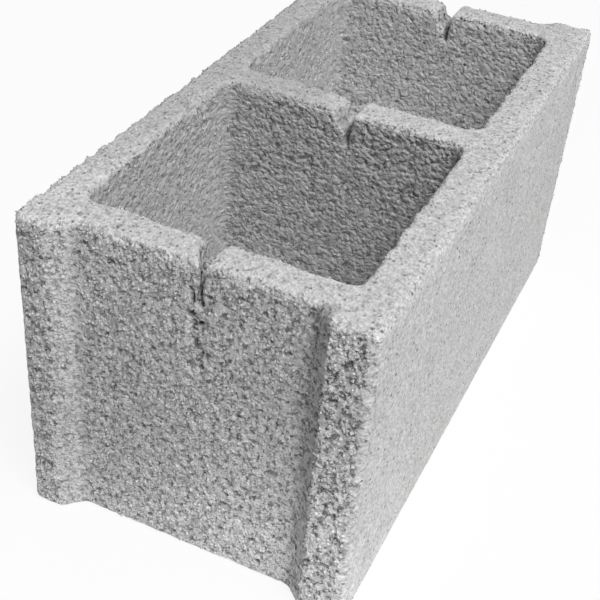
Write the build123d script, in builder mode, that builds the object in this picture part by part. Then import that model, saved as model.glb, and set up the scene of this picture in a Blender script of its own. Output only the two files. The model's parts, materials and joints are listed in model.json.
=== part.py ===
from build123d import *
import math
import os

os.makedirs("parts", exist_ok=True)

# A hollow concrete block, pressed in one piece, standing on its bed with both cores upright.
# X runs across the block, Y along it and Z up. The origin is the middle of the bed.
# All lengths are in millimetres. Left is -X and right is +X, as seen from the front end at -Y.

# Overall size
block_length = 390.0
block_width = 190.0
block_height = 190.0

# Shallow recess across each end, with a rib left standing at either side
recess_depth = 10.0
recess_ramp = 11.0
left_rib = 18.0
right_rib = 24.0

# Walls round the cores, as thick as they are at the top
left_shell = 20.0
right_shell = 22.5
end_web = 22.0
middle_web = 22.0

# The cores narrow towards the bed by this much on each side, to let the block out of its mould
core_draft = 3.0
core_corner = 8.0

# Break-out slot down from the top of every web. Its mouth has a full round lip on the left and a
# small one on the right, and closes to a slit.
slot_offset = 2.0
left_lip = 9.5
left_throat = 6.5
right_lip = 2.0
right_throat = 3.0
mouth_depth = 12.0
slot_width = 3.5
slit_width = 2.0
slit_depth = 62.0

# Rounding that handling has left on the corners and edges
corner_wear = 5.0
bend_wear = 2.0
rim_wear = 1.5
bed_wear = 1.5

# Places worked out from the sizes
half_length = block_length / 2
half_width = block_width / 2
recess_left = left_rib - half_width
recess_right = half_width - right_rib
webs = 2 * end_web + middle_web
core_length = (block_length - 2 * recess_depth - webs) / 2
core_width = block_width - left_shell - right_shell
core_middle = (left_shell - right_shell) / 2
core_spacing = core_length + middle_web
draft_angle = math.degrees(math.atan(core_draft / block_height))
slot_plane = Plane(origin=(slot_offset, 0, block_height), x_dir=(1, 0, 0), z_dir=(0, -1, 0))

with BuildPart() as block:
    # outline of the block, less the recess in each end
    with BuildSketch() as outline:
        Rectangle(block_width, block_length)
        for end in (-1, 1):
            mouth = end * half_length
            floor = end * (half_length - recess_depth)
            with BuildLine():
                Polyline(
                    (recess_left, mouth),
                    (recess_left + recess_ramp, floor),
                    (recess_right - recess_ramp, floor),
                    (recess_right, mouth),
                    close=True,
                )
            make_face(mode=Mode.SUBTRACT)
        bend_columns = outline.vertices().group_by(Axis.X)[1:-1]
        fillet([bend for column in bend_columns for bend in column], bend_wear)
        corner_columns = outline.vertices().group_by(Axis.X)
        fillet(corner_columns[0] + corner_columns[-1], corner_wear)
    extrude(amount=block_height)

    # two upright cores, one on each side of the middle web
    with BuildSketch(Plane.XY.offset(block_height)):
        with Locations((core_middle, 0)):
            with GridLocations(0, core_spacing, 1, 2):
                RectangleRounded(core_width, core_length, core_corner)
    extrude(amount=-block_height, taper=draft_angle, mode=Mode.SUBTRACT)

    # the whole rim of the top is worn round, and the edges that the block stands on are worn flat
    fillet(block.edges().group_by(Axis.Z)[-1], rim_wear)
    chamfer(block.edges().group_by(Axis.Z)[0], bed_wear)

    # one slot profile, cut along the block through every web it meets
    with BuildSketch(slot_plane):
        with BuildLine():
            round_lip = JernArc((-left_throat - left_lip, 0), (1, 0), left_lip, -90)
            slit_end = (-slit_width / 2, slit_width / 2 - slit_depth)
            left_side = Polyline(round_lip @ 1, (-slot_width / 2, -mouth_depth), slit_end)
            tip = JernArc(left_side @ 1, (0, -1), slit_width / 2, 180)
            small_lip = JernArc((right_throat + right_lip, 0), (-1, 0), right_lip, 90)
            Polyline(tip @ 1, (slot_width / 2, -mouth_depth), small_lip @ 1)
            Line(small_lip @ 0, round_lip @ 0)
        make_face()
    extrude(amount=half_length, both=True, mode=Mode.SUBTRACT)

block.part.label = "concrete_block"
export_step(block.part, "parts/concrete_block.step")
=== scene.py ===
import json
import math
import bpy
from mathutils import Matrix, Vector

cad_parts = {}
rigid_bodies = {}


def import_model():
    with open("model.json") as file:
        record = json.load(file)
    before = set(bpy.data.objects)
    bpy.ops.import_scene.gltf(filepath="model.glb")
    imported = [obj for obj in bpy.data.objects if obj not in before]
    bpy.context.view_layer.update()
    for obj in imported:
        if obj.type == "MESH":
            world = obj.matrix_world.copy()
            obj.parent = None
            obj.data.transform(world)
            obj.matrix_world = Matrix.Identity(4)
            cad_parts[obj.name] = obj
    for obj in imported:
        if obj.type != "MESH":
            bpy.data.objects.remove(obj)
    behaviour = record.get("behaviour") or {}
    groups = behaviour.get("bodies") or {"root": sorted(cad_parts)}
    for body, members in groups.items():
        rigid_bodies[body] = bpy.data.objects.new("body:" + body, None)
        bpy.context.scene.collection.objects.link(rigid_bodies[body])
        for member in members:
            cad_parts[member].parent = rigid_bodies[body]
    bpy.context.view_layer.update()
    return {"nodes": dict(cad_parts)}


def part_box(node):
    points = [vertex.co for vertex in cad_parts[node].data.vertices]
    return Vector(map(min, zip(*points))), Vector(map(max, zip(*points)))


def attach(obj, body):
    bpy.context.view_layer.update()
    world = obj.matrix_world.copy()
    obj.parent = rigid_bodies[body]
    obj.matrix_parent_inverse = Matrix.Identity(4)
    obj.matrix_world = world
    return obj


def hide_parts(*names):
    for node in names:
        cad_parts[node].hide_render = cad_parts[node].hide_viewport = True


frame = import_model()
blockNode = frame["nodes"]["concrete_block"]
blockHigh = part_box("concrete_block")[1]
mm = 0.001

# The block's sizes that the looks follow, read from the frame where it gives them
halfWidth = blockHigh.x
halfLength = blockHigh.y
height = blockHigh.z
slotMiddle = 2 * mm


# Node trees

class Wire:
    # an output socket: sums on it add nodes to its tree
    def __init__(self, bench, socket):
        self.bench = bench
        self.socket = socket

    def sum(self, operation, first, second=0.0):
        return self.bench.node("ShaderNodeMath", {"operation": operation}, {0: first, 1: second})

    def vector(self, operation, sockets, output="Vector"):
        return self.bench.node("ShaderNodeVectorMath", {"operation": operation}, sockets, output)

    def __add__(self, other):
        return self.sum("ADD", self, other)

    def __radd__(self, other):
        return self.sum("ADD", other, self)

    def __sub__(self, other):
        return self.sum("SUBTRACT", self, other)

    def __rsub__(self, other):
        return self.sum("SUBTRACT", other, self)

    def __mul__(self, other):
        return self.sum("MULTIPLY", self, other)

    def __rmul__(self, other):
        return self.sum("MULTIPLY", other, self)

    def __truediv__(self, other):
        return self.sum("DIVIDE", self, other)

    def __rtruediv__(self, other):
        return self.sum("DIVIDE", other, self)

    def size(self):
        return self.sum("ABSOLUTE", self)

    def above(self, other):
        return self.sum("GREATER_THAN", self, other)

    def below(self, other):
        return self.sum("LESS_THAN", self, other)

    def least(self, other):
        return self.sum("MINIMUM", self, other)

    def most(self, other):
        return self.sum("MAXIMUM", self, other)

    def ease(self, span):
        # 0 at the start of the span, 1 at its end, eased between
        start, end = span
        return self.bench.node(
            "ShaderNodeMapRange", {"interpolation_type": "SMOOTHSTEP"}, {0: self, 1: start, 2: end}
        )

    def fade(self, span):
        # 1 at the start of the span, 0 at its end
        return 1 - self.ease(span)

    def blend(self, share):
        # for a mask: 1 where it is 0, and the share where it is 1
        return 1 - self * (1 - share)

    def dot(self, other):
        return self.vector("DOT_PRODUCT", {0: self, 1: other}, "Value")

    def length(self):
        return self.vector("LENGTH", {0: self}, "Value")

    def shift(self, other):
        return self.vector("ADD", {0: self, 1: other})

    def away(self, other):
        return self.vector("SUBTRACT", {0: self, 1: other})

    def times(self, factor):
        return self.vector("SCALE", {0: self, "Scale": factor})

    def carry(self, direction):
        # a vector this long, for a direction of length 1
        return self.vector("SCALE", {0: direction, "Scale": self})

    def sibling(self, name):
        # another output of the same node
        return Wire(self.bench, self.socket.node.outputs[name])

    def axes(self):
        first = self.bench.node("ShaderNodeSeparateXYZ", {}, {0: self})
        return [first, first.sibling("Y"), first.sibling("Z")]


class Bench:
    # adds nodes to one tree
    def __init__(self, tree):
        self.tree = tree

    def node(self, kind, settings=None, sockets=None, output=0):
        made = self.tree.nodes.new(kind)
        for name, value in (settings or {}).items():
            setattr(made, name, value)
        for key, value in (sockets or {}).items():
            self.feed(made.inputs[key], value)
        return Wire(self, made.outputs[output]) if made.outputs else None

    def feed(self, socket, value):
        # a number or a material is the socket's own, a wire or a list of wires is linked to it
        wires = value if isinstance(value, list) else [value]
        for wire in wires:
            if isinstance(wire, Wire):
                self.tree.links.new(wire.socket, socket)
            else:
                socket.default_value = wire

    def noise(self, place, featureSize, detail=2, roughness=0.5, output=0):
        sockets = {"Vector": place, "Scale": 1 / featureSize, "Detail": detail, "Roughness": roughness}
        return self.node("ShaderNodeTexNoise", {}, sockets, output)

    def swing(self, place, featureSize, detail=2):
        # noise to both sides of 0
        return self.noise(place, featureSize, detail) - 0.5

    def swirl(self, place, featureSize):
        # a vector of such noise
        return self.noise(place, featureSize, 1, output="Color").away((0.5, 0.5, 0.5))

    def cells(self, place, cellSize):
        # how far each point is from the middle of its cell
        sockets = {"Vector": place, "Scale": 1 / cellSize}
        return self.node("ShaderNodeTexVoronoi", {}, sockets, output="Distance")

    def painted(self, name):
        # an attribute of the mesh, for a material
        return self.node("ShaderNodeAttribute", {"attribute_name": name}, output="Fac")

    def kept(self, name):
        # the same for a modifier tree
        return self.node("GeometryNodeInputNamedAttribute", {"data_type": "FLOAT"}, {"Name": name})

    def keep(self, geometry, name, value, domain="POINT"):
        return self.node(
            "GeometryNodeStoreNamedAttribute", {"data_type": "FLOAT", "domain": domain},
            {"Geometry": geometry, "Name": name, "Value": value},
        )

    def chance(self, limits, seed):
        # a random number for each point, or a random vector between two tuples
        low, high = limits
        if isinstance(low, tuple):
            sockets = {0: low, 1: high, "Seed": seed}
            return self.node("FunctionNodeRandomValue", {"data_type": "FLOAT_VECTOR"}, sockets)
        sockets = {2: low, 3: high, "Seed": seed}
        return self.node("FunctionNodeRandomValue", {"data_type": "FLOAT"}, sockets, output=1)


def emptyBench(owner):
    # the cleared node tree of a material or a world
    owner.use_nodes = True
    owner.node_tree.nodes.clear()
    return Bench(owner.node_tree)


# Concrete

concreteLook = {
    "cement": 0.62,          # how light the plain grey is, in linear light
    "blueShare": 0.997,      # its blue, against red and green
    "darkest": 0.02,
    "lightest": 0.9,
    "roughness": 0.93,
    "specular": 0.25,
    "reliefDepth": 2.4 * mm,

    "patchSize": 48 * mm,
    "mottle": 0.14,          # slow change from patch to patch
    "blotchSize": 7 * mm,
    "blotch": 0.18,          # quicker change, from clump to clump
    "skinBlotch": 0.20,      # more of that on the skin of sides and top
    "grainSize": 2.6 * mm,
    "stoneTone": 0.12,       # each grain has a shade of its own
    "sandSize": 1.3 * mm,
    "sandShade": 0.50,       # salt and pepper of the sand
    "coreSand": 0.5,         # how much less of it in the cores,
    "leftWallSand": 0.3,     # and less again on their left wall
    "lumpSize": 2.8 * mm,
    "lumpRoughness": 0.55,
    "clefts": (0.37, 0.44),  # the noise of the lumps, from cleft to lump
    "cleftPaintedShade": 0.46,      # painted shade in the clefts between the lumps: how dark they go
    "voidSize": 4.4 * mm,
    "voidRoughness": 0.6,
    "voids": (0.33, 0.39),   # the noise from open void to solid
    # painted shade in the open voids
    "voidPaintedShade": 0.28,
    "wanderSize": 2.4 * mm,
    "warp": 0.6 * mm,        # bends the grains out of their round shapes

    # the skin's coordinates: flattened along a slant on the sides, drawn out a little on the top
    "sideSkin": {"scale": 0.84, "direction": (0.0, 0.49, 0.87), "scaleAlong": 1.40},
    "topSkin": {"scale": 1.60, "direction": (-0.34, 0.94, 0.0), "scaleAlong": 1.15},
    "speckleSize": 2.2 * mm,
    "speckle": 0.80,
    "faceSpeckle": 0.28,     # more of that in the middle of a side or of the top

    # holes in the middle of cells: how far from the middle they go, and which of the cell's random
    # numbers makes one, from hardly any hole to a full one
    "pinholes": {"size": 6.5 * mm, "reach": (0.10, 0.20), "channel": 0, "draw": (0.35, 0.95)},
    "dimples": {"size": 4.8 * mm, "reach": (0.16, 0.27), "channel": 1, "draw": (0.2, 1.0)},
    "craters": {"size": 15.0 * mm, "reach": (0.05, 0.10), "channel": 2, "draw": (0.3, 0.9)},
    "dimpleShift": (0.02, 0.09, 0.05),
    # painted shade in the pinholes and dimples of the skin
    "pinholePaintedShade": 0.50,
    "dimplePaintedShade": 0.68,
    # painted shade in the craters
    "craterPaintedShade": 0.6,
    "topPitShare": 0.60,     # of the painted shade in pinholes and dimples, on the top

    # the relief, as shares of its depth
    "relief": {
        "grain": 0.38, "grainRound": 1.5, "lump": 0.75, "sand": 0.30, "crater": 0.9, "void": 0.45,
        "cleft": 0.20, "pinhole": 0.5, "dimple": 0.25, "speckle": 0.22,
    },
    "coreShare": 0.72,       # relief and tone left in the cores,
    "leftWallLoss": 0.36,    # how much less on their left wall,
    "farCoreShare": 0.78,    # what is left of both in the far core,
    "ribShare": 1.4,         # on the right ribs at the ends,
    "leftRampShare": 0.60,   # on the sides of the recesses,
    "rightRampShare": 1.05,
    "topShare": 0.27,        # on the troweled top,
    "sideShare": 0.16,       # and on the pressed sides

    # how light each part is, against the plain grey
    "skinTone": 0.87,        # the smooth skin of sides and top
    "topTone": 0.95,         # the top again
    "topLeftTone": 0.82,     # which is darker along its left side,
    "topCornerTone": 1.08,   # and lighter at the near left corner
    "endTone": 0.92,         # the coarse ends and cores
    "coreTone": 0.93,        # the cores again
    "paintedFarCoreLight": 1.14,         # painted light makes the far one lighter,
    "farLeftWall": 0.45,     # less so on its left wall
    "leftRamp": 0.94,        # painted shade on the sides of the recesses, most on the right one, in shadow
    "rightRamp": 0.70,
    "ribTone": 1.17,         # the right rib
    "cornerTone": 0.82,      # the rounded upright corners on the right
    "paintedFootLight": 0.20,       # painted light added at the foot of the near end,
    "paintedCornerLight": 0.38,     # and painted light near the lower right corner,
    "paintedSideCornerLight": 0.4,  # this share of it on the side
    "slotPaintedShade": 0.72,        # painted shade on the broken walls of the slots, their groove and hollows
    "rimLight": 0.30,        # added on rubbed edges,
    "rimWear": (0.40, 0.85),
    "rimPatchSize": 7 * mm,  # in patches
    "rimPatches": (0.42, 0.60),
    "paintedHighlightAndShade": 0.26,   # painted highlight where the surface stands out, and painted shade in hollows
    "mostStanding": 0.35,
    "grainTone": 0.86,       # the darkest loose grain,
    "grainToneRange": 0.28,  # and what the lightest has more

    # how far the borders between the finishes wander
    "raggedSize": 5 * mm,
    "raggedCorner": 15 * mm,
    "raggedEnd": 12 * mm,
    "raggedTop": 6 * mm,

    # the spans over which the finishes begin or end, across, along or up the block
    "zones": {
        "endFace": (halfLength - 12 * mm, halfLength - 7 * mm),
        "offEnd": (2 * mm, 10 * mm),
        "top": (height - 5 * mm, height - 2 * mm),
        "side": (halfWidth - 4 * mm, halfWidth - 2.2 * mm),
        "roundedCorner": (halfWidth - 7 * mm, halfWidth + 1 * mm),
        "darkCorner": (halfWidth - 8 * mm, halfWidth - 3 * mm),
        "coreSides": (76 * mm, 79 * mm),
        "coreEnds": (164 * mm, 170 * mm),
        "leftWall": (-74 * mm, -66 * mm),
        "rightRib": (70 * mm, 73 * mm),
        "recess": (halfLength - 13 * mm, halfLength - 11 * mm),
        "leftRampOuter": (-79 * mm, -75 * mm),
        "leftRampInner": (-71 * mm, -65 * mm),
        "rightRampInner": (60 * mm, 65 * mm),
        "rightRampOuter": (70 * mm, 72 * mm),
        "topLeftSide": (-30 * mm, 12 * mm),
        "topLeftNear": (-150 * mm, -50 * mm),
        "topLeftFar": (120 * mm, 160 * mm),
        "topCornerSide": (-90 * mm, -50 * mm),
        "topCornerNear": (-185 * mm, -130 * mm),
        "foot": (0, 70 * mm),
        "nearEnd": (12 * mm - halfLength, 30 * mm - halfLength),
        "fromCorner": (30 * mm, 155 * mm),
    },
}


def voidNoise(bench, place):
    # low in the open voids, which the pits of the body and the loose grains follow too
    return bench.noise(place, concreteLook["voidSize"], roughness=concreteLook["voidRoughness"])


def slanted(place, scale, direction, scaleAlong):
    # coordinates scaled by one factor, and by another along a direction
    along = place.dot(direction) * (scaleAlong - scale)
    return place.times(scale).shift(along.carry(direction))


def cellHoles(bench, place, look):
    # some cells have a hole, others hardly any
    cells = bench.cells(place, look["size"])
    draw = cells.sibling("Color").axes()[look["channel"]]
    return cells.fade(look["reach"]) * draw.ease(look["draw"])


def concreteMaterial(name, look, tintFrom):
    material = bpy.data.materials.new(name)
    bench = emptyBench(material)
    place = bench.node("ShaderNodeTexCoord", output="Object")
    across, along, up = place.axes()
    zones = look["zones"]

    # the pressed sides are finer than the ends and cores, and the top lies between
    ragged = bench.swing(place, look["raggedSize"])
    atEnd = along.size().ease(zones["endFace"]) * up.fade(zones["top"])
    rounding = (across + ragged * look["raggedCorner"]).ease(zones["roundedCorner"]) * atEnd
    offEnd = (halfLength - along.size() + ragged * look["raggedEnd"]).ease(zones["offEnd"])
    pressed = (across.size().ease(zones["side"]) * offEnd).most(rounding)
    troweled = (up + ragged * look["raggedTop"]).ease(zones["top"])
    smooth = pressed.most(troweled)
    rough = 1 - smooth
    inCore = across.size().fade(zones["coreSides"]) * along.size().fade(zones["coreEnds"])
    inFarCore = inCore * along.above(0)
    leftWall = across.fade(zones["leftWall"])
    onRib = across.ease(zones["rightRib"]) * atEnd
    inRecess = along.size().ease(zones["recess"])
    leftRamp = across.fade(zones["leftRampInner"]) * across.ease(zones["leftRampOuter"]) * inRecess
    rightRamp = across.ease(zones["rightRampInner"]) * across.fade(zones["rightRampOuter"]) * inRecess

    calm = (pressed * (1 - look["sideShare"])).most(troweled * (1 - look["topShare"]))
    calm = calm.most(inCore * (1 - look["coreShare"] + leftWall * look["leftWallLoss"]))
    coarse = (1 - calm) * onRib.blend(look["ribShare"])
    coarse = coarse * leftRamp.blend(look["leftRampShare"]) * rightRamp.blend(look["rightRampShare"])
    coarse = coarse * inFarCore.blend(look["farCoreShare"])

    # grains, sand, lumps of aggregate with clefts between them, and open voids
    bent = place.shift(bench.swirl(place, look["wanderSize"]).times(look["warp"]))
    patches = bench.swing(place, look["patchSize"])
    blotches = bench.swing(place, look["blotchSize"])
    sand = bench.swing(place, look["sandSize"], detail=1)
    sand = sand * (1 - inCore * (look["coreSand"] + leftWall * look["leftWallSand"]))
    grains = bench.cells(bent, look["grainSize"])
    stones = grains.sibling("Color").axes()[0] - 0.5
    lumps = bench.noise(bent, look["lumpSize"], roughness=look["lumpRoughness"])
    clefts = lumps.fade(look["clefts"])
    voids = voidNoise(bench, bent).fade(look["voids"])
    craters = cellHoles(bench, bent, look["craters"])

    # the skin's speckle, pinholes and dimples, each face in coordinates of its own
    onSide = slanted(bent, **look["sideSkin"])
    onTop = slanted(bent, **look["topSkin"])
    skin = onSide.shift(onTop.away(onSide).times(troweled.above(0.5)))
    speckle = bench.swing(skin, look["speckleSize"], detail=1)
    pinholes = cellHoles(bench, skin, look["pinholes"])
    dimples = cellHoles(bench, skin.shift(look["dimpleShift"]), look["dimples"])

    share = look["relief"]
    relief = (1 - grains * grains * share["grainRound"]) * share["grain"] + lumps * share["lump"]
    relief = relief + sand * share["sand"] - craters * share["crater"]
    relief = (relief - voids * share["void"] - clefts * share["cleft"]) * coarse
    skinRelief = pinholes * share["pinhole"] + dimples * share["dimple"] - speckle * share["speckle"]
    relief = relief - skinRelief * smooth

    tone = 1 + patches * look["mottle"] + blotches * (look["blotch"] + smooth * look["skinBlotch"])
    contrast = look["speckle"] + pressed * look["faceSpeckle"] + troweled * look["faceSpeckle"]
    tone = tone + speckle * contrast * smooth
    tone = tone + (sand * look["sandShade"] + stones * look["stoneTone"]) * coarse
    # painted shade in the clefts between the lumps, and below in the open voids and craters
    tone = tone * (1 - clefts * coarse * look["cleftPaintedShade"])
    tone = tone * (1 - (voids * look["voidPaintedShade"]).most(craters * look["craterPaintedShade"]) * coarse)
    tone = tone * rough.blend(look["endTone"])
    # painted shade in the pinholes and dimples, weaker on the top
    skinPitShade = (pinholes * look["pinholePaintedShade"]).most(dimples * look["dimplePaintedShade"]) * smooth
    tone = tone * (1 - skinPitShade * troweled.blend(look["topPitShare"]))

    # the parts' own shades, with painted light and shade on some of them
    tone = tone * smooth.blend(look["skinTone"]) * troweled.blend(look["topTone"])
    topLeft = across.fade(zones["topLeftSide"])
    topLeft = topLeft * along.ease(zones["topLeftNear"]) * along.fade(zones["topLeftFar"])
    topCorner = across.fade(zones["topCornerSide"]) * along.fade(zones["topCornerNear"])
    topChange = topLeft * (look["topLeftTone"] - 1) + topCorner * (look["topCornerTone"] - 1)
    tone = tone * (1 + troweled * topChange)
    tone = tone * (across.ease(zones["darkCorner"]) * atEnd).blend(look["cornerTone"])
    tone = tone * (inCore * rough).blend(look["coreTone"])
    # painted light on the walls of the far core, less on its left wall
    farWalls = inFarCore * rough * leftWall.blend(look["farLeftWall"])
    tone = tone * farWalls.blend(look["paintedFarCoreLight"])
    # painted shade on the sides of the end recesses
    tone = tone * leftRamp.blend(look["leftRamp"]) * rightRamp.blend(look["rightRamp"])
    tone = tone * onRib.blend(look["ribTone"])
    # painted light at the foot of the near end, stronger around its lower right corner
    foot = up.fade(zones["foot"]) * along.fade(zones["nearEnd"])
    fromCorner = place.away((halfWidth, -halfLength, 0)).length()
    nearCorner = fromCorner.fade(zones["fromCorner"]) * pressed.blend(look["paintedSideCornerLight"])
    tone = tone * (1 + foot * look["paintedFootLight"] + nearCorner * look["paintedCornerLight"])
    if tintFrom == "wear":
        rimPatches = bench.noise(place, look["rimPatchSize"]).ease(look["rimPatches"])
        rubbed = bench.painted("wear").ease(look["rimWear"]) * rimPatches
        tone = tone * (1 + rubbed * look["rimLight"])
        # painted highlight where the surface stands out, painted shade in its hollows
        tone = tone * (1 + bench.painted("cavity").least(look["mostStanding"]) * look["paintedHighlightAndShade"])
        # painted shade on the slots' walls, the groove of the near slit and the hollows beside it
        tone = tone * bench.painted("slot").blend(look["slotPaintedShade"])
    else:
        tone = tone * (look["grainTone"] + bench.painted("tint") * look["grainToneRange"])
    shade = (tone * look["cement"]).most(look["darkest"]).least(look["lightest"])
    colour = bench.node("ShaderNodeCombineColor", {}, {
        0: shade,
        1: shade,
        2: shade * look["blueShare"],
    })
    bump = bench.node("ShaderNodeBump", {}, {
        "Height": relief,
        "Strength": 1.0,
        "Distance": look["reliefDepth"],
    })
    surface = bench.node("ShaderNodeBsdfPrincipled", {}, {
        "Base Color": colour,
        "Roughness": look["roughness"],
        "Specular IOR Level": look["specular"],
        "Normal": bump,
    })
    bench.node("ShaderNodeOutputMaterial", {}, {"Surface": surface})
    return material


blockConcrete = concreteMaterial("blockConcrete", concreteLook, "wear")
grainConcrete = concreteMaterial("grainConcrete", concreteLook, "tint")
print("concrete mixed")


# Geometry Nodes

def newTree(name, inputs):
    # a modifier tree with named inputs, given as label: (socket type, name in the look)
    tree = bpy.data.node_groups.new(name, "GeometryNodeTree")
    tree.is_modifier = True
    tree.interface.new_socket(name="Geometry", in_out="INPUT", socket_type="NodeSocketGeometry")
    tree.interface.new_socket(name="Geometry", in_out="OUTPUT", socket_type="NodeSocketGeometry")
    for label, (kind, _) in inputs.items():
        tree.interface.new_socket(name=label, in_out="INPUT", socket_type=kind)
    bench = Bench(tree)
    entry = bench.node("NodeGroupInput").socket.node
    given = {socket.name: Wire(bench, socket) for socket in entry.outputs if socket.name}
    return bench, given


def closeTree(bench, geometry, material):
    # loose instances become real mesh, in the given material
    real = bench.node("GeometryNodeRealizeInstances", {}, {0: geometry})
    coated = bench.node("GeometryNodeSetMaterial", {}, {"Geometry": real, "Material": material})
    bench.node("NodeGroupOutput", {}, {0: coated})
    return bench.tree


def treeModifier(thing, tree, inputs, look):
    modifier = thing.modifiers.new(tree.name, "NODES")
    modifier.node_group = tree
    for item in tree.interface.items_tree:
        if item.in_out == "INPUT" and item.name in inputs:
            modifier[item.identifier] = look[inputs[item.name][1]]


def putInScene(name, data):
    made = bpy.data.objects.new(name, data)
    bpy.context.scene.collection.objects.link(made)
    return made


def bakeDown(thing, name):
    # the modified shape as a plain mesh, in an object of its own at the origin
    shaped = thing.evaluated_get(bpy.context.evaluated_depsgraph_get())
    mesh = bpy.data.meshes.new_from_object(shaped)
    mesh.name = name
    return putInScene(name, mesh)


def triangleCount(thing):
    return sum(len(face.vertices) - 2 for face in thing.data.polygons)


def standingOut(bench, place, normal, rounds):
    # how far a point stands out of the shape around it, blurred this many rounds
    blurred = bench.node("GeometryNodeBlurAttribute", {"data_type": "FLOAT_VECTOR"}, {
        "Value": place,
        "Iterations": rounds,
    })
    return place.away(blurred).dot(normal)


# Block body: the CAD shape with worn edges, waves and pits

bodyLook = {
    "voxel": 1.25 * mm,
    "weldReach": 0.01 * mm,
    "triangles": 192000,
    "edgeReach": 9,          # rounds of blurring that find the edges,
    "hollowReach": 2,        # and the hollows between the grains
    "fullWear": 1.3 * mm,    # an edge that stands out this far counts as wholly rubbed
    "fullHollow": 0.45 * mm,
    "inset": 0.2 * mm,       # keeps the peaks near the CAD faces

    "waves": 0.7 * mm,       # slow unevenness of the faces
    "waveSize": 70 * mm,
    "leastWaves": 0.25,      # share of it on the calmest faces
    "clumps": 1.1 * mm,      # clumps of aggregate
    "clumpSize": 6 * mm,
    "clumpMiddle": 0.42,
    "grit": 1.6 * mm,
    "gritSize": 3.2 * mm,
    "pits": 1.3 * mm,
    "pitNoise": (0.31, 0.42),

    "edgeWear": 1.4,         # share of an edge's height that is rubbed off
    "chipSize": 8 * mm,
    "chipDetail": 3,
    "chipRoughness": 0.65,
    "chips": (0.41, 0.60),
    "deepChipSize": 15 * mm,
    "deepChips": (0.52, 0.62),
    "deepChipShare": 0.9,    # these go this much deeper again
    "lipWear": 0.15,         # share of the wear on the lips of the slots,
    "lowWear": 0.15,         # below the top rim,
    "cornerWear": 0.3,       # and at the upright corners

    # how much calmer than the open faces each part is
    "sideCalm": 0.9,
    "bedCalm": 0.6,          # also the top
    "cornerCalm": 0.5,
    "rampCalm": 0.5,
    "coreCalm": 0.35,

    "slotBreak": 1.5 * mm,   # small hollows beside the near slot,
    "breakSize": 6.5 * mm,
    "breaks": (0.50, 0.60),
    "breakEnd": 20 * mm,     # within this of the near end
    "slitHalf": 3.5 * mm,    # half of what counts as the slot itself
    "sideways": (0.5, 0.8),  # how far a face of the slot is turned to the side
    # larger ones: (across, depth below the top, half width, half height, how deep)
    "hollows": (
        (7.2 * mm, 18.0 * mm, 1.7 * mm, 1.1 * mm, 2.2 * mm),
        (-1.5 * mm, 22.0 * mm, 1.1 * mm, 4.5 * mm, 2.4 * mm),
        (-2.0 * mm, 30.5 * mm, 2.6 * mm, 2.0 * mm, 3.6 * mm),
        (0.4 * mm, 35.8 * mm, 2.9 * mm, 1.3 * mm, 3.2 * mm),
        (-1.5 * mm, 40.5 * mm, 1.5 * mm, 1.3 * mm, 2.2 * mm),
        (0.4 * mm, 48.0 * mm, 1.4 * mm, 2.6 * mm, 2.4 * mm),
        (3.0 * mm, 55.0 * mm, 1.1 * mm, 3.4 * mm, 2.2 * mm),
        (3.6 * mm, 61.0 * mm, 1.5 * mm, 1.8 * mm, 2.6 * mm),
    ),
    "hollowRound": (0.3, 1.5),
    "hollowEnd": 12 * mm,    # within this of the near end

    # where the concrete gets painted shade: the slots' own walls
    "wallReach": 13 * mm,
    "wallTurn": (0.3, 0.6),
    "grooveHalf": 2.3 * mm,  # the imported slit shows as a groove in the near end,
    "grooveTop": 20 * mm,    # from this far below the top
    "grooveInset": 14 * mm,
    "grooveDepth": 3 * mm,
    "groovePaintedShade": 1.4,
    "shadedHollow": 1.2 * mm,

    "zones": {
        "offEnd": (2 * mm, 14 * mm),
        "side": (halfWidth - 1.5 * mm, halfWidth - 0.4 * mm),
        "top": (height - 2.5 * mm, height - 1 * mm),
        "bed": (1 * mm, 2.5 * mm),
        "recess": (halfLength - 13 * mm, halfLength - 11 * mm),
        "corner": (halfWidth - 6 * mm, halfWidth - 3 * mm),
        "rampInner": (60 * mm, 64 * mm),
        "rampOuter": (70 * mm, 74 * mm),
        "coreSides": (74 * mm, 78 * mm),
        "coreEnds": (164 * mm, 170 * mm),
        "besideSlot": (2 * mm, 8 * mm),
        "breakFoot": (height - 70 * mm, height - 55 * mm),
        "breakHead": (height - 26 * mm, height - 18 * mm),
        "besideLips": (8 * mm, 13 * mm),
        "lipFoot": (height - 30 * mm, height - 25 * mm),
        "topRim": (height - 8 * mm, height - 3 * mm),
        "outerSide": (halfWidth - 14 * mm, halfWidth - 5 * mm),
        "outerEnd": (halfLength - 14 * mm, halfLength - 5 * mm),
        "wallHead": (height - 5 * mm, height - 2 * mm),
    },
}

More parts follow.
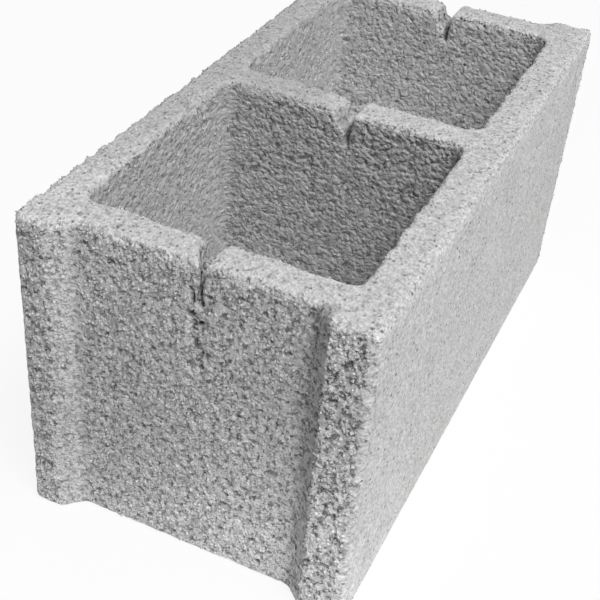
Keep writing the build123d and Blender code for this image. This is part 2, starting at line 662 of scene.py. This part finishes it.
# Concrete left in and beside the slots, as prisms in millimetres: the depth below the top and the
# outline of the foot, then the same of the top. The lips of the near slot are broken askew.
slotPackings = {
    "leftLip": (
        13.5, ((-16.0, -184.8), (2.2, -184.8), (-5.5, -164.2), (-16.0, -164.2)),
        0.4, ((-16.0, -184.0), (0.0, -184.0), (-8.0, -164.8), (-16.0, -164.8)),
    ),
    "rightLip": (
        13.5, (
            (5.2, -184.6), (12.0, -184.6), (12.0, -163.9), (4.5, -163.9), (3.0, -168.0), (3.2, -178.0),
        ),
        0.4, (
            (6.3, -184.0), (12.0, -184.0), (12.0, -164.4), (6.0, -164.4), (4.4, -168.0), (4.6, -178.0),
        ),
    ),
    "nearPacking": (
        66.0, ((-0.4, -181.5), (4.4, -181.5), (4.4, -162.3), (-0.4, -162.3)),
        24.0, ((-0.4, -181.5), (4.4, -181.5), (4.4, -162.9), (-0.4, -162.9)),
    ),
    "middlePacking": (
        66.0, ((-0.4, -11.8), (4.4, -11.8), (4.4, 11.8), (-0.4, 11.8)),
        21.0, ((-0.4, -11.1), (4.4, -11.1), (4.4, 11.1), (-0.4, 11.1)),
    ),
    "farPacking": (
        66.0, ((-0.4, 162.1), (4.4, 162.1), (4.4, 184.7), (-0.4, 184.7)),
        21.0, ((-0.4, 162.8), (4.4, 162.8), (4.4, 184.7), (-0.4, 184.7)),
    ),
}

weatherInputs = {
    "Waves": ("NodeSocketFloat", "waves"),
    "Clumps": ("NodeSocketFloat", "clumps"),
    "Grit": ("NodeSocketFloat", "grit"),
    "Pits": ("NodeSocketFloat", "pits"),
    "Edge Wear": ("NodeSocketFloat", "edgeWear"),
    "Edge Reach": ("NodeSocketInt", "edgeReach"),
    "Slot Break": ("NodeSocketFloat", "slotBreak"),
    "Inset": ("NodeSocketFloat", "inset"),
}

markInputs = {"Hollow Reach": ("NodeSocketInt", "hollowReach")}


def weatherTree(look):
    bench, given = newTree("weatherBlock", weatherInputs)
    place = bench.node("GeometryNodeInputPosition")
    normal = bench.node("GeometryNodeInputNormal")
    across, along, up = place.axes()
    fromSlot = (across - slotMiddle).size()
    turned = normal.axes()[0].size()
    zones = look["zones"]
    geometry = bench.keep(
        given["Geometry"], "standOut", standingOut(bench, place, normal, given["Edge Reach"])
    )

    # the open faces are coarse, and the others calmer
    pressed = across.size().ease(zones["side"]) * (halfLength - along.size()).ease(zones["offEnd"])
    bedding = up.ease(zones["top"]).most(up.fade(zones["bed"]))
    coarse = 1 - (pressed * look["sideCalm"]).most(bedding * look["bedCalm"])
    corners = across.size().ease(zones["corner"]) * look["cornerCalm"]
    ramps = across.size().ease(zones["rampInner"]) * across.size().fade(zones["rampOuter"])
    ramps = ramps * look["rampCalm"]
    coarse = coarse * (1 - corners.most(ramps) * along.size().ease(zones["recess"]))
    inCore = across.size().fade(zones["coreSides"]) * along.size().fade(zones["coreEnds"])
    inSlot = fromSlot.below(look["slitHalf"]) * turned.ease(look["sideways"])
    coarse = coarse * (1 - inCore * look["coreCalm"]) * (1 - inSlot)

    waves = bench.swing(place, look["waveSize"]) * given["Waves"]
    clumps = (look["clumpMiddle"] - bench.cells(place, look["clumpSize"])) * given["Clumps"]
    grit = bench.swing(place, look["gritSize"], detail=1) * given["Grit"]
    pits = voidNoise(bench, place).fade(look["pitNoise"]) * given["Pits"]

    # edges are chipped, the lips of the slots and the upright corners less than the top rim
    chips = bench.noise(place, look["chipSize"], look["chipDetail"], look["chipRoughness"])
    deepChips = bench.noise(place, look["deepChipSize"]).ease(look["deepChips"])
    chipping = chips.ease(look["chips"]) + deepChips * look["deepChipShare"]
    rubbed = bench.kept("standOut").most(0) * given["Edge Wear"] * chipping
    lips = fromSlot.fade(zones["besideLips"]) * up.ease(zones["lipFoot"])
    rim = look["lowWear"] + up.ease(zones["topRim"]) * (1 - look["lowWear"])
    outerCorner = across.size().ease(zones["outerSide"]) * along.size().ease(zones["outerEnd"])
    rubbed = rubbed * lips.blend(look["lipWear"]) * rim * outerCorner.blend(look["cornerWear"])

    # the near web is broken out here and there beside its slot
    besideSlot = fromSlot.fade(zones["besideSlot"]) * up.ease(zones["breakFoot"])
    besideSlot = besideSlot * up.fade(zones["breakHead"]) * along.below(look["breakEnd"] - halfLength)
    breaks = bench.noise(place, look["breakSize"]).ease(look["breaks"])
    broken = breaks * besideSlot * given["Slot Break"]
    hollows = 0.0
    for left, depth, wide, tall, deep in look["hollows"]:
        reachAcross = (across - left) / wide
        reachUp = (up - (height - depth)) / tall
        hollow = (reachAcross * reachAcross + reachUp * reachUp).fade(look["hollowRound"])
        hollows = (hollow * deep).most(hollows)
    hollows = hollows * along.below(look["hollowEnd"] - halfLength)

    lift = waves * (coarse + look["leastWaves"]).least(1) + (clumps + grit - pits) * coarse
    lift = lift - broken - hollows - rubbed - given["Inset"] * coarse

    # painted shade for the concrete to read: the slots' own walls, the groove and the hollows
    slotShadeMask = fromSlot.below(look["wallReach"]) * turned.ease(look["wallTurn"])
    slotShadeMask = slotShadeMask * up.fade(zones["wallHead"])
    fromGroove = (along + halfLength - look["grooveInset"]).size()
    groove = fromSlot.below(look["grooveHalf"]) * up.below(height - look["grooveTop"])
    groove = groove * fromGroove.below(look["grooveDepth"])
    slotShadeMask = slotShadeMask.most(groove * look["groovePaintedShade"]).most(hollows / look["shadedHollow"])
    geometry = bench.keep(geometry, "slot", slotShadeMask)
    geometry = bench.node(
        "GeometryNodeSetPosition", {}, {"Geometry": geometry, "Offset": normal.times(lift)}
    )
    return closeTree(bench, geometry, blockConcrete)


def markTree(look):
    # what the concrete reads: hollows between the grains, and rubbed edges
    bench, given = newTree("markBlock", markInputs)
    place = bench.node("GeometryNodeInputPosition")
    normal = bench.node("GeometryNodeInputNormal")
    cavity = standingOut(bench, place, normal, given["Hollow Reach"]) / look["fullHollow"]
    wear = bench.kept("standOut") / look["fullWear"]
    geometry = bench.keep(given["Geometry"], "cavity", cavity.most(-1).least(1))
    geometry = bench.keep(geometry, "wear", wear)
    geometry = bench.node("GeometryNodeSetShadeSmooth", {}, {"Geometry": geometry})
    return closeTree(bench, geometry, blockConcrete)


def packedMesh(mesh, packings):
    # the mesh with the packings beside it, for the remesh to melt into one
    corners = [tuple(vertex.co) for vertex in mesh.vertices]
    faces = [tuple(face.vertices) for face in mesh.polygons]
    for footDepth, foot, topDepth, top in packings.values():
        first = len(corners)
        sides = len(foot)
        corners += [(x * mm, y * mm, height - footDepth * mm) for x, y in foot]
        corners += [(x * mm, y * mm, height - topDepth * mm) for x, y in top]
        faces.append(tuple(range(first + sides - 1, first - 1, -1)))
        faces.append(tuple(range(first + sides, first + 2 * sides)))
        for side in range(sides):
            after = (side + 1) % sides
            faces.append((first + side, first + after, first + sides + after, first + sides + side))
    packed = bpy.data.meshes.new("packedBlock")
    packed.from_pydata(corners, [], faces)
    return packed


def makeBody(look):
    # the frame's mesh is loose triangles, so the copy's doubles are merged before it is reshaped
    blank = putInScene("blockBlank", packedMesh(blockNode.data, slotPackings))
    weld = blank.modifiers.new("weld", "WELD")
    weld.merge_threshold = look["weldReach"]
    remesh = blank.modifiers.new("remesh", "REMESH")
    remesh.mode = "VOXEL"
    remesh.voxel_size = look["voxel"]
    treeModifier(blank, weatherTree(look), weatherInputs, look)
    dense = bakeDown(blank, "denseBlock")
    print("dense block:", triangleCount(dense), "triangles")
    reduce = dense.modifiers.new("reduce", "DECIMATE")
    reduce.ratio = min(1.0, look["triangles"] / triangleCount(dense))
    treeModifier(dense, markTree(look), markInputs, look)
    body = bakeDown(dense, "concreteBody")
    for spare in (blank, dense):
        bpy.data.objects.remove(spare)
    return body


concreteBody = makeBody(bodyLook)
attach(concreteBody, "root")
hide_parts("concrete_block")
print("block body:", triangleCount(concreteBody), "triangles")


# Aggregate: single grains that stand out of the faces

grainLook = {
    "density": 2.5,                            # most tries on a square of the spacing
    "kinds": 4,                                # uneven lumps to pick from
    "kindShift": (3.1, 1.7, 5.3),              # where in the noise each is cut
    "dentSize": 1 / 1.1,                       # for a lump of radius 1
    "dentDepth": 1.3,
    "sizes": (0.55, 1.35),
    "turns": ((0.0, 0.0, 0.0), (6.28, 6.28, 6.28)),
    "stretches": ((0.75, 0.75, 0.6), (1.3, 1.3, 1.0)),
    "turnSeed": 7,                             # added to the region's own
    "stretchSeed": 9,
    "tintSeed": 5,
    "solid": 0.37,                             # noise of the voids above which grains stand
    "mouthHalf": 3 * mm,                       # they leave the slots free, this far to each side,
    "mouthSlope": 0.5,                         # and more in their flared mouths
    "mouthFlare": 13 * mm,                     # that begin this far below the top
    "mouthFoot": 22 * mm,
    "rampSides": (63 * mm, 70 * mm),           # and the sides of the end recesses
    "rampStart": 12 * mm,
}

anyWear = -9.0               # for a region whose grains stand on worn and unworn faces alike
grainRegions = {
    "nearLeftGrains": {
        "low": (4 * mm - halfWidth, -halfLength - 1 * mm, 2.5 * mm),
        "high": (slotMiddle, 11 * mm - halfLength, height - 1.5 * mm),
        "spacing": 1.65 * mm, "size": 0.95 * mm, "sink": 0.15, "seed": 11, "leastWear": anyWear,
    },
    "nearRightGrains": {
        "low": (slotMiddle, -halfLength - 1 * mm, 2.5 * mm),
        "high": (halfWidth - 5 * mm, 11 * mm - halfLength, height - 1.5 * mm),
        "spacing": 1.65 * mm, "size": 0.95 * mm, "sink": 0.15, "seed": 16, "leastWear": anyWear,
    },
    "farEndGrains": {
        "low": (-halfWidth, halfLength - 11 * mm, 2.5 * mm),
        "high": (halfWidth, halfLength + 1 * mm, height - 1.5 * mm),
        "spacing": 1.9 * mm, "size": 1.15 * mm, "sink": 0.55, "seed": 12, "leastWear": anyWear,
    },
    "nearCoreGrains": {
        "low": (-78 * mm, 25 * mm - halfLength, 2.5 * mm),
        "high": (76 * mm, -7 * mm, height - 1.5 * mm),
        "spacing": 2.5 * mm, "size": 1.5 * mm, "sink": 0.75, "seed": 13, "leastWear": anyWear,
    },
    "farCoreGrains": {
        "low": (-78 * mm, 7 * mm, 2.5 * mm),
        "high": (76 * mm, halfLength - 25 * mm, height - 1.5 * mm),
        "spacing": 2.5 * mm, "size": 1.5 * mm, "sink": 0.75, "seed": 14, "leastWear": anyWear,
    },
    "nearSlotCrumbs": {
        "low": (slotMiddle - 2.4 * mm, -halfLength, height - 66 * mm),
        "high": (slotMiddle + 2.4 * mm, 35 * mm - halfLength, height - 22 * mm),
        "spacing": 2.2 * mm, "size": 1.15 * mm, "sink": 0.2, "seed": 15, "leastWear": anyWear,
    },
    "rimGrains": {
        "low": (-halfWidth - 1 * mm, -halfLength - 1 * mm, height - 4 * mm),
        "high": (halfWidth + 1 * mm, halfLength + 1 * mm, height + 1 * mm),
        "spacing": 1.6 * mm, "size": 0.95 * mm, "sink": 0.35, "seed": 17, "leastWear": 0.4,
    },
}

grainInputs = {
    "Low": ("NodeSocketVector", "low"),
    "High": ("NodeSocketVector", "high"),
    "Spacing": ("NodeSocketFloat", "spacing"),
    "Size": ("NodeSocketFloat", "size"),
    "Sink": ("NodeSocketFloat", "sink"),
    "Seed": ("NodeSocketInt", "seed"),
    "Least Wear": ("NodeSocketFloat", "leastWear"),
}


def inside(place, low, high):
    # 1 within the box, 0 outside it
    within = 1.0
    for value, least, most in zip(place.axes(), low.axes(), high.axes()):
        within = value.above(least) * value.below(most) * within
    return within


def grainTree(look):
    bench, given = newTree("scatterGrains", grainInputs)
    place = bench.node("GeometryNodeInputPosition")
    across, along, up = place.axes()
    solid = voidNoise(bench, place).above(look["solid"])
    flare = (up - (height - look["mouthFlare"])).most(0) * look["mouthSlope"]
    mouth = (across - slotMiddle).size().below(look["mouthHalf"] + flare)
    mouth = mouth * up.above(height - look["mouthFoot"])
    rampInner, rampOuter = look["rampSides"]
    ramps = across.size().above(rampInner) * across.size().below(rampOuter)
    ramps = ramps * along.size().above(halfLength - look["rampStart"])
    chosen = inside(place, given["Low"], given["High"]) * solid * (1 - mouth) * (1 - ramps)
    chosen = chosen * bench.kept("wear").above(given["Least Wear"])
    region = bench.node("GeometryNodeSeparateGeometry", {"domain": "FACE"}, {
        "Geometry": given["Geometry"],
        "Selection": chosen,
    })
    points = bench.node("GeometryNodeDistributePointsOnFaces", {"distribute_method": "POISSON"}, {
        "Mesh": region,
        "Distance Min": given["Spacing"],
        "Density Max": look["density"] / (given["Spacing"] * given["Spacing"]),
        "Seed": given["Seed"],
    }, output="Points")

    lumps = []
    shiftAcross, shiftAlong, shiftUp = look["kindShift"]
    for number in range(look["kinds"]):
        ball = bench.node("GeometryNodeMeshIcoSphere", {}, {"Radius": 1.0, "Subdivisions": 1})
        cutting = place.shift((shiftAcross * number, shiftAlong, shiftUp * number))
        dents = bench.swirl(cutting, look["dentSize"]).times(look["dentDepth"])
        lump = bench.node("GeometryNodeSetPosition", {}, {"Geometry": ball, "Offset": dents})
        lumps.append(bench.node("GeometryNodeGeometryToInstance", {}, {0: lump}))
    lumpSet = bench.node("GeometryNodeJoinGeometry", {}, {0: lumps})

    grown = given["Size"] * bench.chance(look["sizes"], given["Seed"])
    turn = bench.chance(look["turns"], given["Seed"] + look["turnSeed"])
    stretch = bench.chance(look["stretches"], given["Seed"] + look["stretchSeed"])
    sunk = points.sibling("Normal").times(grown * given["Sink"] * -1)
    placed = bench.node("GeometryNodeInstanceOnPoints", {}, {
        "Points": bench.node("GeometryNodeSetPosition", {}, {"Geometry": points, "Offset": sunk}),
        "Instance": lumpSet,
        "Pick Instance": True,
        "Rotation": turn,
        "Scale": stretch.times(grown),
    })
    tinted = bench.keep(placed, "tint", bench.chance((0.0, 1.0), look["tintSeed"]), domain="INSTANCE")
    real = bench.node("GeometryNodeRealizeInstances", {}, {0: tinted})
    smooth = bench.node("GeometryNodeSetShadeSmooth", {}, {"Geometry": real})
    return closeTree(bench, smooth, grainConcrete)


def makeGrains(name, region, tree):
    bed = putInScene("grainBed", concreteBody.data)
    treeModifier(bed, tree, grainInputs, region)
    grains = bakeDown(bed, name)
    bpy.data.objects.remove(bed)
    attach(grains, "root")
    print(name + ":", triangleCount(grains), "triangles")


scatterGrains = grainTree(grainLook)
for regionName, grainRegion in grainRegions.items():
    makeGrains(regionName, grainRegion, scatterGrains)


# Stage: white ground, soft light from the upper right, a weak lamp behind, and the photo's camera

stageLook = {
    "floorSize": 8.0,
    "floorShade": 0.94,
    "floorGlow": 0.91,       # share of the camera's view of the floor that is plain white
    "floorWhite": 0.98,
    "lamps": {
        # name: (watts, size, place)
        "mainBox": (94.0, 1.3, (1.15, -1.12, 2.95)),
        "rightBox": (17.0, 1.2, (2.1, -0.3, 2.3)),
        "topBox": (11.5, 1.2, (0.9, 0.3, 2.6)),
        "fillBox": (13.0, 1.4, (-1.7, 1.7, 0.6)),
    },
    "lampTarget": (0.0, 0.0, 0.1),
    "cameraPlace": (0.2066, -0.5721, 0.4924),
    "cameraTurn": (53.747, -4.294, 24.887),
    "cameraLens": 69.93,
    "sensorWidth": 36.0,
    "nearLimit": 0.01,
}


def makeFloor(look):
    side = look["floorSize"] / 2
    mesh = bpy.data.meshes.new("floor")
    corners = [(-side, -side, 0), (side, -side, 0), (side, side, 0), (-side, side, 0)]
    mesh.from_pydata(corners, [], [(0, 1, 2, 3)])
    floor = putInScene("floor", mesh)
    material = bpy.data.materials.new("paleGround")
    bench = emptyBench(material)
    shade = look["floorShade"]
    matt = bench.node("ShaderNodeBsdfDiffuse", {}, {"Color": (shade, shade, shade, 1)})
    white = bench.node("ShaderNodeEmission", {}, {
        "Color": (1, 1, 1, 1),
        "Strength": look["floorWhite"],
    })
    seen = bench.node("ShaderNodeLightPath", output="Is Camera Ray") * look["floorGlow"]
    surface = bench.node("ShaderNodeMixShader", {}, {0: seen, 1: matt, 2: white})
    bench.node("ShaderNodeOutputMaterial", {}, {"Surface": surface})
    mesh.materials.append(material)


def makeLight(look):
    # the sky is white to look at, and gives no light of its own
    world = bpy.data.worlds.new("studioSky")
    bpy.context.scene.world = world
    bench = emptyBench(world)
    seen = bench.node("ShaderNodeLightPath", output="Is Camera Ray")
    shown = seen.most(seen.sibling("Is Glossy Ray")) * look["floorWhite"]
    sky = bench.node("ShaderNodeBackground", {}, {"Color": (1, 1, 1, 1), "Strength": shown})
    bench.node("ShaderNodeOutputWorld", {}, {"Surface": sky})

    for name, (watts, size, place) in look["lamps"].items():
        data = bpy.data.lights.new(name, "AREA")
        data.energy = watts
        data.size = size
        lamp = putInScene(name, data)
        lamp.location = place
        lamp.visible_camera = False
        aim = Vector([at - target for at, target in zip(lamp.location, look["lampTarget"])])
        lamp.rotation_mode = "QUATERNION"
        lamp.rotation_quaternion = aim.to_track_quat("Z", "Y")


def makeCamera(look):
    data = bpy.data.cameras.new("photoCamera")
    data.lens = look["cameraLens"]
    data.sensor_width = look["sensorWidth"]
    data.clip_start = look["nearLimit"]
    camera = putInScene("photoCamera", data)
    camera.location = look["cameraPlace"]
    camera.rotation_euler = [math.radians(angle) for angle in look["cameraTurn"]]
    bpy.context.scene.camera = camera


makeFloor(stageLook)
makeLight(stageLook)
makeCamera(stageLook)
bpy.context.scene.view_settings.view_transform = "Standard"
print("stage set")
